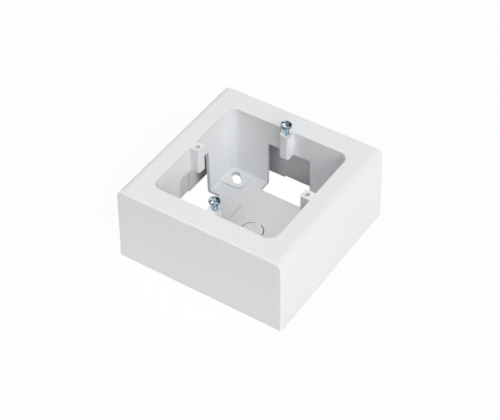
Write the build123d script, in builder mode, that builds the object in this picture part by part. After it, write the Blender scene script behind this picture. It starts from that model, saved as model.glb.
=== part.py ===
"""Surface switch box: a square white moulding, open in front and hung round an inner well, and two screws."""

import os
from math import cos, radians, sin, tan

from build123d import *

# Outside of the box
base_side = 90.0
box_height = 41.3
skirt_draft = 0.9
shoulder_radius = 3.8
face_edge_radius = 0.9

# Skirt and rim
skirt_wall = 3.1
skirt_inner_corner_radius = 1.5
rim_thickness = 2.4
breakout_width = 16.0
breakout_height = 16.0
breakout_wall = 2.2

# Inner well
well_opening = 65.6
well_corner_radius = 4.8
well_draft = 0.7
well_wall = 1.6
floor_lift = 0.5
floor_thickness = 1.5
well_floor_radius = 0.4
well_foot_radius = 1.0
rim_lip_radius = 0.5

# Cable cut-out in the middle of each well wall, running on into the floor
cutout_width = 24.2
cutout_top_drop = 13.9
cutout_corner_radius = 1.0
notch_inner_reach = 26.0
notch_corner_cut = 1.4

# Screw posts at the standard device screw spacing
screw_spacing = 60.0
post_width = 5.4
post_nose_reach = 27.6
post_corner_radius = 1.4
pilot_hole_radius = 1.25

# Floor features
pad_inner_reach = 20.1
pad_height = 0.7
pad_corner_radius = 3.6
fixing_slot_width = 4.4
fixing_slot_length = 8.6
fixing_slot_reach = 26.2
tongue_inner_reach = 13.9
tongue_width = 25.2
tongue_height = 0.5
tongue_corner_radius = 1.2
knockout_radius = 5.5
knockout_groove = 0.6
knockout_bridges = 3
knockout_bridge_width = 3.2

# Device screws, each driven part of the way into a post
shank_radius = 1.4
shank_clearance = 0.05
screw_length = 15.0
front_stand_off = 4.0
back_stand_off = 4.7
head_radius = 2.65
head_rim_height = 1.2
head_height = 2.0
tip_chamfer = 0.5
cross_length = 3.4
cross_width = 0.9
cross_depth = 1.2
slot_width = 0.8
slot_depth = 0.8
front_recess_turn = 70.0
back_recess_turn = 15.0

# Derived sizes of the skirt
half_base = base_side / 2
half_crown = half_base - box_height * tan(radians(skirt_draft))
skirt_cavity_side = base_side - 2 * skirt_wall
rim_underside = box_height - rim_thickness
breakout_foot = half_base - breakout_wall
breakout_head = breakout_foot - breakout_height * tan(radians(skirt_draft))
breakout_root = skirt_cavity_side / 2 - skirt_wall

# Derived sizes of the well
floor_top = floor_lift + floor_thickness
well_depth = box_height - floor_top
half_well = well_opening / 2
half_floor = half_well - well_depth * tan(radians(well_draft))
well_outer_side = well_opening + 2 * well_wall
well_outer_depth = box_height - floor_lift
cutout_top = box_height - cutout_top_drop
cutout_reach = half_well + 2 * well_wall

# Derived sizes of the posts, floor features and screws
post_reach = screw_spacing / 2
post_root = half_well + well_wall / 2
pad_side = half_floor + well_wall / 2 - pad_inner_reach
pad_centre = pad_inner_reach + pad_side / 2
tongue_length = notch_inner_reach + notch_corner_cut - tongue_inner_reach
tongue_centre = tongue_inner_reach + tongue_length / 2
fixing_slot_circle = fixing_slot_reach * 2 ** 0.5
formed_hole_radius = shank_radius + shank_clearance
dome_rise = head_height - head_rim_height
dome_radius = (head_radius**2 + dome_rise**2) / (2 * dome_rise)

down_from_rim = Plane(origin=(0, 0, box_height), x_dir=(1, 0, 0), z_dir=(0, 0, -1))

# Recess for the thin break-out panel inside one skirt wall
with BuildPart() as breakout_recess:
    with BuildSketch(Plane.YZ):
        with BuildLine():
            Polyline(
                (breakout_root, 0),
                (breakout_foot, 0),
                (breakout_head, breakout_height),
                (breakout_root, breakout_height),
                close=True,
            )
        make_face()
    extrude(amount=breakout_width / 2, both=True)

# Cable cut-out through one well wall, with its notch in the floor
with BuildPart() as cable_cutout:
    with BuildSketch(Plane.XY) as notch_plan:
        with Locations((0, (notch_inner_reach + cutout_reach) / 2)):
            Rectangle(cutout_width, cutout_reach - notch_inner_reach)
        chamfer(notch_plan.vertices().group_by(Axis.Y)[0], notch_corner_cut)
    extrude(amount=cutout_top)
    window_head = cable_cutout.edges().filter_by(Axis.Y).group_by(Axis.Z)[-1]
    fillet(window_head, cutout_corner_radius)

# One screw post, standing off the well wall from the cut-out's top edge to the rim
with BuildPart() as screw_post:
    with BuildSketch(Plane.XY.offset(cutout_top)):
        with Locations((0, (post_nose_reach + post_root) / 2)):
            Rectangle(post_width, post_root - post_nose_reach)
    extrude(amount=cutout_top_drop)
    fillet(screw_post.edges().filter_by(Axis.Z).group_by(Axis.Y)[0], post_corner_radius)

with BuildPart() as box_body:
    # Drafted block with rounded shoulders along its two long top edges
    with BuildSketch(Plane.XZ) as front_profile:
        with BuildLine():
            Polyline(
                (-half_base, 0),
                (half_base, 0),
                (half_crown, box_height),
                (-half_crown, box_height),
                close=True,
            )
        make_face()
        fillet(front_profile.vertices().group_by(Axis.Y)[-1], shoulder_radius)
    extrude(amount=half_base, both=True)

    # Draft of the two end faces, then the small radius that runs round them
    for end in (-1, 1):
        end_plane = Plane(
            origin=(0, end * half_base, 0),
            x_dir=(1, 0, 0),
            z_dir=(0, end * cos(radians(skirt_draft)), sin(radians(skirt_draft))),
        )
        split(bisect_by=end_plane, keep=Keep.BOTTOM)
    end_faces = box_body.faces().sort_by(Axis.Y)
    end_outline = end_faces[0].edges() + end_faces[-1].edges()
    fillet(end_outline.filter_by(lambda edge: edge.center().Z > floor_lift), face_edge_radius)

    # Hollow of the skirt, open underneath
    with BuildSketch(Plane.XY):
        RectangleRounded(skirt_cavity_side, skirt_cavity_side, skirt_inner_corner_radius)
    extrude(amount=rim_underside, taper=skirt_draft, mode=Mode.SUBTRACT)
    with PolarLocations(0, 4):
        add(breakout_recess.part, mode=Mode.SUBTRACT)

    # Inner well, drafted from the rim down to its floor
    with BuildSketch(down_from_rim):
        RectangleRounded(well_outer_side, well_outer_side, well_corner_radius + well_wall)
    extrude(amount=well_outer_depth, taper=well_draft)
    fillet(box_body.faces().filter_by(Axis.Z).group_by(Axis.Z)[1].edges(), well_foot_radius)
    with BuildSketch(down_from_rim):
        RectangleRounded(well_opening, well_opening, well_corner_radius)
    extrude(amount=well_depth, taper=well_draft, mode=Mode.SUBTRACT)

    floor_outline = box_body.faces().filter_by(Axis.Z).sort_by_distance((0, 0, floor_top))[0].edges()
    fillet(floor_outline, well_floor_radius)
    rim_outline = box_body.faces().filter_by(Axis.Z).sort_by(Axis.Z)[-1].inner_wires().edges()
    fillet(rim_outline, rim_lip_radius)

    # Raised pads in the floor's corners and the low tongues behind two of the notches
    with BuildSketch(Plane.XY.offset(floor_top)) as floor_pads:
        with GridLocations(2 * pad_centre, 2 * pad_centre, 2, 2):
            Rectangle(pad_side, pad_side)
        fillet(floor_pads.vertices().sort_by_distance((0, 0, 0))[:4], pad_corner_radius)
    extrude(amount=pad_height)
    with BuildSketch(Plane.XY.offset(floor_top)) as floor_tongues:
        with GridLocations(2 * tongue_centre, tongue_width, 2, 1):
            Rectangle(tongue_length, tongue_width)
        fillet(floor_tongues.vertices().sort_by_distance((0, 0, 0))[:4], tongue_corner_radius)
    extrude(amount=tongue_height)

    # Screw posts and the cable cut-outs below them, one of each on every side
    with PolarLocations(0, 4):
        add(screw_post.part)
        add(cable_cutout.part, mode=Mode.SUBTRACT)
    with Locations((-post_reach, 0, box_height), (post_reach, 0, box_height)):
        Hole(pilot_hole_radius, depth=cutout_top_drop)
    with Locations((0, -post_reach, box_height), (0, post_reach, box_height)):
        Hole(formed_hole_radius, depth=cutout_top_drop)

    # Radial fixing slots through the pads
    with BuildSketch(Plane.XY):
        with PolarLocations(fixing_slot_circle, 4, start_angle=45):
            SlotOverall(fixing_slot_length, fixing_slot_width)
    extrude(amount=floor_top + pad_height, mode=Mode.SUBTRACT)

    # Ring of grooves that frees the knock-out, with bridges left between them
    with BuildSketch(Plane.XY):
        Circle(knockout_radius + knockout_groove / 2)
        Circle(knockout_radius - knockout_groove / 2, mode=Mode.SUBTRACT)
        with PolarLocations(knockout_radius, knockout_bridges, start_angle=90):
            Rectangle(3 * knockout_groove, knockout_bridge_width, mode=Mode.SUBTRACT)
    extrude(amount=floor_top, mode=Mode.SUBTRACT)

# Device screw: domed head with a combined slot and cross, plain shank
with BuildPart() as device_screw:
    with BuildSketch(Plane.XZ):
        with BuildLine():
            Polyline(
                (0, -screw_length),
                (shank_radius - tip_chamfer, -screw_length),
                (shank_radius, tip_chamfer - screw_length),
                (shank_radius, 0),
                (head_radius, 0),
                (head_radius, head_rim_height),
            )
            RadiusArc((head_radius, head_rim_height), (0, head_height), -dome_radius)
            Line((0, head_height), (0, -screw_length))
        make_face()
    revolve(axis=Axis.Z)
    with BuildSketch(Plane.XY.offset(head_height)):
        Rectangle(cross_length, cross_width)
        Rectangle(cross_width, cross_length)
    extrude(amount=-cross_depth, mode=Mode.SUBTRACT)
    with BuildSketch(Plane.XY.offset(head_height)):
        Rectangle(3 * head_radius, slot_width)
    extrude(amount=-slot_depth, mode=Mode.SUBTRACT)

with BuildPart() as front_screw:
    with Locations(Location((0, -post_reach, box_height + front_stand_off), (0, 0, front_recess_turn))):
        add(device_screw.part)

with BuildPart() as back_screw:
    with Locations(Location((0, post_reach, box_height + back_stand_off), (0, 0, back_recess_turn))):
        add(device_screw.part)

box_body.part.label = "box_body"
front_screw.part.label = "front_screw"
back_screw.part.label = "back_screw"

os.makedirs("parts", exist_ok=True)
export_step(box_body.part, "parts/box_body.step")
export_step(front_screw.part, "parts/front_screw.step")
export_step(back_screw.part, "parts/back_screw.step")
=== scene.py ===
"""Looks of an open surface switch box: satin white moulding and two part-driven, zinc-plated screws."""

import math

import bpy
from mathutils import Matrix, Vector


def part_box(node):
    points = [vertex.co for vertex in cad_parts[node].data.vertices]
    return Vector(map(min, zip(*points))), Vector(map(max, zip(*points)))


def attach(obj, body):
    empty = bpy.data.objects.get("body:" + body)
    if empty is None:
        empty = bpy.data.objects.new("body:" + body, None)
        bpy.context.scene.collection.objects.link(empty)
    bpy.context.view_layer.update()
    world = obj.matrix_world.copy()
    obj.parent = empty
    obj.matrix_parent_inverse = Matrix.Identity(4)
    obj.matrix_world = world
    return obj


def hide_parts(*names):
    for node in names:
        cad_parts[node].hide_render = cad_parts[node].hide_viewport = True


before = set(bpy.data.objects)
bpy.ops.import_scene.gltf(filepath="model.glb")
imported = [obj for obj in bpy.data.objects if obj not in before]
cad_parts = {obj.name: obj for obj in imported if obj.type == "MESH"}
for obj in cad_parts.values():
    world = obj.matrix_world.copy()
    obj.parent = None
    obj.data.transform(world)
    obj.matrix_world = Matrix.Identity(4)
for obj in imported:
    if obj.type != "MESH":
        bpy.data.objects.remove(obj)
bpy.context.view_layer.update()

MM = 0.001

# Camera, fitted to the photograph
CAMERA_PLACE = (0.278404, -0.418249, 0.505840)
CAMERA_AZIMUTH = math.radians(33.75)
CAMERA_ELEVATION = math.radians(44.29)
CAMERA_ROLL = math.radians(-0.81)
CAMERA_LENS = 107.24
SENSOR_WIDTH = 36.0
CLIP_START = 10.0 * MM

# Device screws
POST_REACH = 30.0 * MM
SCREW_LENGTH = 15.0 * MM
SCREW_SIDES = 64
CREST_RADIUS = 1.4 * MM
ROOT_RADIUS = 1.08 * MM
THREAD_PITCH = 1.1 * MM
THREAD_WIDTH = 0.68 * THREAD_PITCH
THREAD_BURY = 0.25 * MM
THREAD_STEPS = 32
TIP_RADIUS = 0.5 * MM
TIP_RISE = 0.9 * MM
HEAD_RADIUS = 2.65 * MM
HEAD_RIM = 1.2 * MM
HEAD_HEIGHT = 1.98 * MM
DOME_RINGS = 6

# Recess in the screws' heads. A floor share is the width at the floor as a part of that at the mouth
CROSS_LENGTH = 3.4 * MM
CROSS_WIDTH = 0.9 * MM
CROSS_DEPTH = 1.2 * MM
CROSS_FLOOR_SHARE = 0.6
SLOT_WIDTH = 0.8 * MM
SLOT_DEPTH = 0.8 * MM
SLOT_FLOOR_SHARE = 0.95
CUTTER_SPARE = 1.0 * MM
RECESS_BEVEL = 0.06 * MM
BEVEL_ANGLE = math.radians(35)
SMOOTH_ANGLE = math.radians(32)

# Turn of each screw's recess, in degrees
RECESS_TURNS = {"front_screw": 70.0, "back_screw": 15.0}

# Points nearer to each other than this are merged
MERGE_REACH = 0.003 * MM

# A face looks down where its normal's Z is below this
FACES_DOWN = -0.9

# Inside of the skirt: how far out it lies, and the heights between which it shows
SKIRT_INSIDE = (40.9 * MM, 43.05 * MM)
SKIRT_HEIGHTS = (0.1 * MM, 38.85 * MM)

# Soft steps of shade painted into the moulding's colour: beside the back panel, and a painted shadow in the
# channel left of the well
PANEL_SIDE = (8.0 * MM, 17.0 * MM)
CHANNEL_START = (13.5 * MM, 20.0 * MM)
CHANNEL_END = (25.0 * MM, 30.0 * MM)
CHANNEL_TOP = (10.5 * MM, 12.0 * MM)

# Painted shade in the creases round the floor's raised parts: their heights, and how far out they lie at
# most
CREASE_HEIGHTS = (2.06 * MM, 2.44 * MM)
CREASE_REACH = 31.8 * MM

# Soft steps in the zinc, as distances from a screw's axis: painted shade in the thread roots, a painted
# darker reflection on the head's rim, and in the recess a painted highlight in the middle with painted
# shade further out
THREAD_STEP = (1.05 * MM, 1.33 * MM)
HEAD_EDGE_STEP = (2.2 * MM, 2.5 * MM)
RECESS_STEP = (0.9 * MM, 1.3 * MM)

# Stage
COVE_RADIUS = 9.0
COVE_SIDES = 96
COVE_HEIGHT = 1.6
COVE_INSET = 0.8 * COVE_RADIUS
COVE_EDGE = 0.9 * COVE_RADIUS
FLOOR_DROP = 0.05 * MM
BACKDROP_WHITE = 0.935
# Painted shade on the card: the camera sees it within this reach of the middle, and the card is dark under
# the box's footprint out to this half width
UNDER_FLOOR = 9.0 * MM
UNDER_BOX = 44.0 * MM
ROOM_STRENGTH = 0.005

# Lamps: name, turn from +X, rise (degrees), power (watts)
LAMP_DISTANCE = 3.0
LAMP_SIZE = 1.3
LAMP_AIM = Vector((0, 0, 20.0 * MM))
LAMPS = [
    ("right_high", 0, 65, 8.0),
    ("right_middle", -10, 35, 12.5),
    ("right_low", -10, 20, 14.0),
    ("corner_low", -45, 20, 12.5),
    ("corner_high", -25, 45, 20.0),
    ("front_middle", -56, 45, 8.5),
    ("front_high", -90, 60, 5.0),
    ("left_high", 180, 65, 17.0),
    ("left_fill", 180, 50, 22.5),
    ("back_left", 150, 45, 4.5),
]


class Wire:
    """A number that varies over a surface. Sums and products of wires add Math nodes."""

    def __init__(self, finish, socket):
        self.finish = finish
        self.socket = socket

    def _math(self, operation, first, second):
        return self.finish.wire("ShaderNodeMath", {"operation": operation}, {0: first, 1: second})

    def __add__(self, other):
        return self._math("ADD", self, other)

    def __sub__(self, other):
        return self._math("SUBTRACT", self, other)

    def __rsub__(self, other):
        return self._math("SUBTRACT", other, self)

    def __mul__(self, other):
        return self._math("MULTIPLY", self, other)

    def above(self, edge):
        """1 above the edge and 0 below."""
        return self._math("GREATER_THAN", self, edge)

    def between(self, low, high):
        """1 from low to high and 0 elsewhere."""
        return self.above(low) * (1 - self.above(high))

    def larger(self, other):
        """The larger of two numbers."""
        return self._math("MAXIMUM", self, other)

    def size(self):
        """The number without its sign."""
        return self.finish.wire("ShaderNodeMath", {"operation": "ABSOLUTE"}, {0: self})

    def ramp(self, low, high):
        """0 below low and 1 above high, with a soft step between."""
        return self.finish.wire("ShaderNodeMapRange", {"interpolation_type": "SMOOTHSTEP"}, {
            "Value": self, "From Min": low, "From Max": high})

    __radd__ = __add__
    __rmul__ = __mul__


class Finish:
    """A node tree that is being written: a material's, or the world's."""

    def __init__(self, tree):
        self.tree = tree
        tree.nodes.clear()

    def node(self, kind, settings, sockets):
        """Adds a node, sets it, and gives each of its sockets a value or a link."""
        node = self.tree.nodes.new(kind)
        for name, value in settings.items():
            setattr(node, name, value)
        for name, value in sockets.items():
            if isinstance(value, Wire):
                self.tree.links.new(value.socket, node.inputs[name])
            elif isinstance(value, bpy.types.NodeSocket):
                self.tree.links.new(value, node.inputs[name])
            else:
                node.inputs[name].default_value = value
        return node

    def wire(self, kind, settings, sockets, output=0):
        """Adds a node and gives one of its outputs as a wire."""
        return Wire(self, self.node(kind, settings, sockets).outputs[output])

    def place(self):
        """Object coordinates."""
        return self.node("ShaderNodeTexCoord", {}, {}).outputs["Object"]

    def axes(self):
        """The three Object coordinates as wires."""
        split = self.node("ShaderNodeSeparateXYZ", {}, {"Vector": self.place()})
        return [Wire(self, split.outputs[name]) for name in "XYZ"]

    def reach(self):
        """Distance from the object's origin."""
        return self.wire("ShaderNodeVectorMath", {"operation": "LENGTH"}, {0: self.place()}, "Value")

    def noise(self, scale):
        """Cloudy pattern with about so many clouds to the metre."""
        return self.wire("ShaderNodeTexNoise", {}, {
            "Vector": self.place(), "Scale": scale, "Detail": 2.0, "Roughness": 0.55})

    def blend(self, share, first, second):
        """Colour that goes from the first to the second as the share goes from 0 to 1."""
        mix = self.node("ShaderNodeMix", {"data_type": "RGBA"}, {"Factor": share, 6: first, 7: second})
        return mix.outputs[2]

    def bump(self, height, strength, distance):
        """Surface direction of a relief with this height."""
        return self.node("ShaderNodeBump", {}, {
            "Height": height, "Strength": strength, "Distance": distance}).outputs["Normal"]

    def surface(self, sockets):
        """Ends a material in one shader."""
        shader = self.node("ShaderNodeBsdfPrincipled", {}, sockets)
        self.node("ShaderNodeOutputMaterial", {}, {"Surface": shader.outputs[0]})


def new_finish(name):
    """An empty material, and the tree to write it in."""
    material = bpy.data.materials.new(name)
    material.use_nodes = True
    return material, Finish(material.node_tree)


def white_moulding():
    """Satin white plastic with the fine grain of a spark-eroded mould, with shade painted into its colour
    in creases, inside the skirt and in the channel left of the well.
    """
    material, finish = new_finish("white_moulding")
    x, y, z = finish.axes()
    cloud = finish.noise(28.0)
    fleck = finish.noise(1900.0)
    grain = finish.noise(5200.0)
    ripple = finish.noise(240.0)
    reach = x.size().larger(y.size())
    shade = cloud * 0.35 + fleck * 0.65
    plain_white = finish.blend(shade, (0.85, 0.863, 0.876, 1), (0.91, 0.919, 0.930, 1))
    # Painted shade in the creases round the floor's raised parts
    crease_shade = z.between(*CREASE_HEIGHTS) * (1 - reach.above(CREASE_REACH))
    inside = reach.between(*SKIRT_INSIDE) * z.between(*SKIRT_HEIGHTS)
    # Painted shade on the inside of the back skirt, beside its thin panel
    panel_side_shade = inside * y.above(SKIRT_INSIDE[0]) * x.size().ramp(*PANEL_SIDE)
    # Painted shadow in the channel left of the well, below the channel's top
    left_channel = (-1 * x).above(SKIRT_INSIDE[0]) * y.ramp(*CHANNEL_START) * (1 - y.ramp(*CHANNEL_END))
    channel_shadow = inside * left_channel * (1 - z.ramp(*CHANNEL_TOP))
    # Each step below darkens the colour with painted shade
    shaded_colour = finish.blend(crease_shade * 0.6, plain_white, (0.30, 0.30, 0.32, 1))
    shaded_colour = finish.blend(panel_side_shade, shaded_colour, (0.60, 0.59, 0.65, 1))
    shaded_colour = finish.blend(channel_shadow, shaded_colour, (0.30, 0.28, 0.32, 1))
    finish.surface({
        "Base Color": shaded_colour,
        "Roughness": 0.36 + cloud * 0.08 + grain * 0.05,
        "Specular IOR Level": 0.25,
        "Normal": finish.bump(grain * 0.6 + ripple * 0.4, 0.12, 0.05 * MM),
    })
    return material


def out_from_screw(finish, step):
    """0 near the axis of either screw and 1 further out, with a soft step between the two radii."""
    x, y = finish.axes()[:2]
    off = y.size() - POST_REACH
    return (x * x + off * off).ramp(step[0] ** 2, step[1] ** 2)


def zinc_plating():
    """Zinc with a bluish cast on a slightly uneven surface, clouded in near black and near white that are
    partly uneven plating and partly painted glints and reflections, with a painted darker reflection on the
    head's rim and painted shade in the thread roots.
    """
    material, finish = new_finish("zinc_plating")
    dent = finish.noise(1500.0)
    cloud = finish.noise(1300.0)
    grain = finish.noise(9000.0)
    # Near-black and near-white clouds: partly uneven plating, partly painted glints and reflections
    painted_reflections = finish.blend(cloud.ramp(0.41, 0.52), (0.05, 0.15, 0.24, 1), (0.80, 0.91, 0.97, 1))
    # Painted darker reflection on the head's rim
    edge = out_from_screw(finish, HEAD_EDGE_STEP) * 0.5
    painted_reflections = finish.blend(edge, painted_reflections, (0.06, 0.15, 0.23, 1))
    finish.surface({
        # Painted shade in the thread roots: an even mid-blue near the axis
        "Base Color": finish.blend(out_from_screw(finish, THREAD_STEP), (0.46, 0.66, 0.78, 1), painted_reflections),
        "Metallic": 1.0,
        "Roughness": 0.22 + grain * 0.12,
        "Normal": finish.bump(dent * 0.9 + grain * 0.1, 0.9, 0.25 * MM),
    })
    return material


def recess_zinc():
    """Zinc inside a screw's recess: a painted highlight in the middle, and painted shade, dark, towards the
    slot's ends.
    """
    material, finish = new_finish("recess_zinc")
    grain = finish.noise(6000.0)
    # Painted shade, near black, towards the slot's ends
    recess_shade = finish.blend(grain, (0.01, 0.015, 0.02, 1), (0.05, 0.07, 0.09, 1))
    finish.surface({
        # Painted highlight near the axis, painted shade further out
        "Base Color": finish.blend(out_from_screw(finish, RECESS_STEP), (0.85, 0.89, 0.92, 1), recess_shade),
        "Metallic": 1.0,
        "Roughness": 0.25 + grain * 0.2,
        "Normal": finish.bump(grain, 0.2, 0.02 * MM),
    })
    return material


def deselect():
    """Leaves edit mode, with nothing selected."""
    if bpy.context.object and bpy.context.object.mode != "OBJECT":
        bpy.ops.object.mode_set(mode="OBJECT")
    bpy.ops.object.select_all(action="DESELECT")


def pick(piece):
    """Selects one object alone and makes it the active one."""
    deselect()
    piece.select_set(True)
    bpy.context.view_layer.objects.active = piece


def start_edit(name, elements="FACE"):
    """Names the new primitive and opens it in edit mode, with all of it selected."""
    piece = bpy.context.object
    piece.name = name
    piece.data.name = name
    bpy.ops.object.mode_set(mode="EDIT")
    bpy.ops.mesh.select_mode(type=elements)
    bpy.ops.mesh.select_all(action="SELECT")
    return piece


def finish_modifier(piece, kind, settings):
    """Gives the piece a modifier and applies it."""
    modifier = piece.modifiers.new(kind.lower(), kind)
    for name, value in settings.items():
        setattr(modifier, name, value)
    bpy.context.view_layer.objects.active = piece
    bpy.ops.object.modifier_apply(modifier=modifier.name)


def settle(piece):
    """Puts the object at the origin, with its place in its mesh."""
    pick(piece)
    bpy.ops.object.transform_apply(location=True, rotation=True, scale=True)


def merge_doubles(piece):
    """Merges points that coincide, drops faces with no area and turns the rest outwards."""
    pick(piece)
    bpy.ops.object.mode_set(mode="EDIT")
    bpy.ops.mesh.select_all(action="SELECT")
    bpy.ops.mesh.remove_doubles(threshold=MERGE_REACH)
    bpy.ops.mesh.select_all(action="SELECT")
    bpy.ops.mesh.dissolve_degenerate(threshold=MERGE_REACH)
    bpy.ops.mesh.select_all(action="SELECT")
    bpy.ops.mesh.normals_make_consistent(inside=False)
    deselect()


def draw_up(radius, steps):
    """Extrudes the selected round face by each (rise, radius), scaling it about the Z axis."""
    height = 0.0
    for rise, wanted in steps:
        bpy.ops.mesh.extrude_region_move(TRANSFORM_OT_translate={"value": (0, 0, rise)})
        height += rise
        share = wanted / radius
        bpy.ops.transform.resize(value=(share, share, 1), center_override=(0, 0, height))
        radius = wanted


def dome_steps(radius, rise, count):
    """(rise, radius) steps of a shallow dome, ending in a small flat."""
    sphere = (radius**2 + rise**2) / (2 * rise)
    steps = []
    last = 0.0
    for index in range(1, count + 1):
        ring = radius * (1 - index / (count + 0.5))
        level = math.sqrt(sphere**2 - ring**2) - (sphere - rise)
        steps.append((level - last, ring))
        last = level
    return steps


def model_blank():
    """Core of the screw and its domed head, drawn up from a tip at the origin."""
    deselect()
    bpy.ops.mesh.primitive_circle_add(vertices=SCREW_SIDES, radius=TIP_RADIUS, fill_type="NGON")
    blank = start_edit("screw_blank")
    bpy.ops.mesh.extrude_region_move(TRANSFORM_OT_translate={"value": (0, 0, 0)})
    shank = SCREW_LENGTH - TIP_RISE
    steps = [(TIP_RISE, ROOT_RADIUS), (shank, ROOT_RADIUS), (0.0, HEAD_RADIUS), (HEAD_RIM, HEAD_RADIUS)]
    draw_up(TIP_RADIUS, steps + dome_steps(HEAD_RADIUS, HEAD_HEIGHT - HEAD_RIM, DOME_RINGS))
    merge_doubles(blank)
    return blank


def model_thread():
    """Ridge of the thread, swept up round the Z axis from one triangle."""
    tall = CREST_RADIUS - ROOT_RADIUS + THREAD_BURY
    size = 1.0 * MM
    middle = (ROOT_RADIUS - THREAD_BURY + tall / 3, 0, TIP_RISE)
    deselect()
    bpy.ops.mesh.primitive_circle_add(
        vertices=3, radius=size, fill_type="NOTHING",
        location=middle, rotation=(math.pi / 2, math.pi / 2, 0))
    ridge = start_edit("thread_ridge", "VERT")
    bpy.ops.transform.resize(
        value=(tall / (1.5 * size), 1, THREAD_WIDTH / (math.sqrt(3) * size)), center_override=middle)
    settle(ridge)
    turns = int((SCREW_LENGTH - TIP_RISE) / THREAD_PITCH) - 1
    finish_modifier(ridge, "SCREW", {
        "axis": "Z", "angle": 2 * math.pi, "screw_offset": THREAD_PITCH, "iterations": turns,
        "steps": THREAD_STEPS, "render_steps": THREAD_STEPS,
        "use_smooth_shade": True, "use_merge_vertices": True})
    bpy.ops.object.mode_set(mode="EDIT")
    bpy.ops.mesh.select_all(action="SELECT")
    bpy.ops.mesh.fill_holes(sides=3)
    merge_doubles(ridge)
    return ridge


def model_cutter(length, width, depth, floor_share):
    """Tapered bar that cuts one arm of the recess. Its faces carry the second material."""
    crown = SCREW_LENGTH + HEAD_HEIGHT
    tall = depth + CUTTER_SPARE
    middle = (0, 0, crown - depth + tall / 2)
    deselect()
    bpy.ops.mesh.primitive_cube_add(size=1.0, location=middle)
    cutter = start_edit("recess_cutter")
    bpy.ops.transform.resize(value=(length, width, tall), center_override=middle)
    bpy.ops.mesh.select_all(action="DESELECT")
    bpy.ops.object.mode_set(mode="OBJECT")
    for face in cutter.data.polygons:
        face.select = face.normal.z < FACES_DOWN
        face.material_index = 1
    bpy.ops.object.mode_set(mode="EDIT")
    bpy.ops.transform.resize(value=(floor_share, floor_share, 1), center_override=(0, 0, crown - depth))
    deselect()
    return cutter


def join(piece, other, operation):
    """Adds the other piece to the first or cuts it away, and removes it."""
    finish_modifier(piece, "BOOLEAN", {
        "operation": operation, "object": other, "solver": "MANIFOLD", "material_mode": "INDEX"})
    bpy.data.objects.remove(other)
    merge_doubles(piece)


def model_screw(finishes):
    """Thread-forming screw with a combined slot and cross recess, standing on the origin."""
    screw = model_blank()
    for finish in finishes:
        screw.data.materials.append(finish)
    for length, width, depth, share in [
            (CROSS_LENGTH, CROSS_WIDTH, CROSS_DEPTH, CROSS_FLOOR_SHARE),
            (CROSS_WIDTH, CROSS_LENGTH, CROSS_DEPTH, CROSS_FLOOR_SHARE),
            (3 * HEAD_RADIUS, SLOT_WIDTH, SLOT_DEPTH, SLOT_FLOOR_SHARE)]:
        cutter = model_cutter(length, width, depth, share)
        for finish in finishes:
            cutter.data.materials.append(finish)
        join(screw, cutter, "DIFFERENCE")
    finish_modifier(screw, "BEVEL", {
        "width": RECESS_BEVEL, "segments": 2, "limit_method": "ANGLE", "angle_limit": BEVEL_ANGLE})
    merge_doubles(screw)
    join(screw, model_thread(), "UNION")
    settle(screw)
    bpy.ops.object.shade_smooth_by_angle(angle=SMOOTH_ANGLE)
    return screw


def drive_screw(pattern, node):
    """Copies the modelled screw into its post, with its recess turned as it stands there."""
    low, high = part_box(node)
    pick(pattern)
    bpy.ops.object.duplicate(linked=False)
    screw = bpy.context.object
    screw.name = node + "_threaded"
    screw.data.name = screw.name
    screw.rotation_euler.z = math.radians(RECESS_TURNS[node])
    screw.location = ((low.x + high.x) / 2, (low.y + high.y) / 2, low.z)
    settle(screw)
    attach(screw, node)
    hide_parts(node)


def dress(node, material):
    """Gives a CAD node its material in every slot."""
    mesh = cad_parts[node].data
    if not mesh.materials:
        mesh.materials.append(material)
    for index in range(len(mesh.materials)):
        mesh.materials[index] = material


def photograph_camera():
    """Camera at the photograph's place and angle."""
    camera = bpy.data.objects.new("camera", bpy.data.cameras.new("camera"))
    bpy.context.scene.collection.objects.link(camera)
    turn = Matrix.Rotation(CAMERA_AZIMUTH, 4, "Z")
    tilt = Matrix.Rotation(math.pi / 2 - CAMERA_ELEVATION, 4, "X")
    roll = Matrix.Rotation(CAMERA_ROLL, 4, "Z")
    camera.matrix_world = Matrix.Translation(CAMERA_PLACE) @ turn @ tilt @ roll
    camera.data.sensor_width = SENSOR_WIDTH
    camera.data.lens = CAMERA_LENS
    camera.data.clip_start = CLIP_START
    bpy.context.scene.camera = camera


def cove_white():
    """White card that shows as a white backdrop and takes a faint shadow, with painted shade under the box:
    the card is dark there, and the camera sees it near the box's middle.
    """
    material, finish = new_finish("cove_white")
    x, y = finish.axes()[:2]
    # Painted shade: the card is dark under the box's footprint
    covered = 1 - x.size().larger(y.size()).above(UNDER_BOX)
    paper = finish.blend(finish.noise(12.0), (0.87, 0.87, 0.87, 1), (0.91, 0.91, 0.91, 1))
    card = finish.node("ShaderNodeBsdfPrincipled", {}, {
        "Base Color": finish.blend(covered, paper, (0.35, 0.35, 0.35, 1)),
        "Roughness": 1.0,
        "Specular IOR Level": 0.0,
    })
    white = finish.node("ShaderNodeEmission", {}, {"Color": (1, 1, 1, 1), "Strength": 1.0})
    rays = finish.node("ShaderNodeLightPath", {}, {})
    seen = Wire(finish, rays.outputs["Is Camera Ray"]).larger(Wire(finish, rays.outputs["Is Glossy Ray"]))
    seen = seen.larger(Wire(finish, rays.outputs["Is Transmission Ray"]))
    share = (covered * (1 - BACKDROP_WHITE) + BACKDROP_WHITE) * finish.reach().above(UNDER_FLOOR)
    mix = finish.node("ShaderNodeMixShader", {}, {0: seen * share, 1: card.outputs[0], 2: white.outputs[0]})
    finish.node("ShaderNodeOutputMaterial", {}, {"Surface": mix.outputs[0]})
    return material


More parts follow.
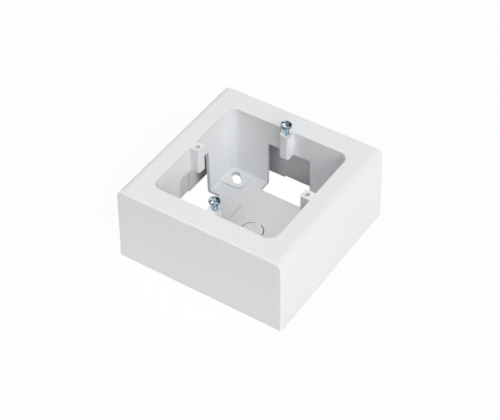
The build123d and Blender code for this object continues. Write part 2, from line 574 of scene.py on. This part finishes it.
def white_cove():
    """Round floor with a low wall at its edge."""
    deselect()
    bpy.ops.mesh.primitive_circle_add(
        vertices=COVE_SIDES, radius=COVE_RADIUS, fill_type="NGON", location=(0, 0, -FLOOR_DROP))
    cove = start_edit("cove")
    bpy.ops.mesh.inset(thickness=COVE_INSET)
    bpy.ops.mesh.select_all(action="DESELECT")
    bpy.ops.mesh.select_mode(type="EDGE")
    bpy.ops.object.mode_set(mode="OBJECT")
    points = cove.data.vertices
    for edge in cove.data.edges:
        edge.select = all(points[index].co.length > COVE_EDGE for index in edge.vertices)
    bpy.ops.object.mode_set(mode="EDIT")
    bpy.ops.mesh.extrude_region_move(TRANSFORM_OT_translate={"value": (0, 0, COVE_HEIGHT)})
    settle(cove)
    cove.data.materials.append(cove_white())


def soft_box(name, turn, rise, power):
    """Square lamp on a sphere round the box, turned from +X towards +Y and raised, in degrees."""
    around = math.radians(turn)
    up = math.radians(rise)
    place = LAMP_DISTANCE * Vector((
        math.cos(up) * math.cos(around), math.cos(up) * math.sin(around), math.sin(up)))
    light = bpy.data.lights.new(name, "AREA")
    light.shape = "SQUARE"
    light.size = LAMP_SIZE
    light.energy = power
    lamp = bpy.data.objects.new(name, light)
    bpy.context.scene.collection.objects.link(lamp)
    lamp.location = place
    lamp.rotation_euler = (LAMP_AIM - place).to_track_quat("-Z", "Y").to_euler()


def studio():
    """Dim room with large soft lamps: most of the light from the right, a fill from the left and front."""
    world = bpy.data.worlds.new("studio")
    world.use_nodes = True
    finish = Finish(world.node_tree)
    room = finish.node("ShaderNodeBackground", {}, {"Color": (1, 1, 1, 1), "Strength": ROOM_STRENGTH})
    finish.node("ShaderNodeOutputWorld", {}, {"Surface": room.outputs[0]})
    bpy.context.scene.world = world
    for name, turn, rise, power in LAMPS:
        soft_box(name, turn, rise, power)


plating = zinc_plating()
dress("box_body", white_moulding())
pattern_screw = model_screw([plating, recess_zinc()])
for node in RECESS_TURNS:
    dress(node, plating)
    drive_screw(pattern_screw, node)
bpy.data.objects.remove(pattern_screw)
photograph_camera()
white_cove()
studio()
bpy.context.scene.view_settings.view_transform = "Standard"
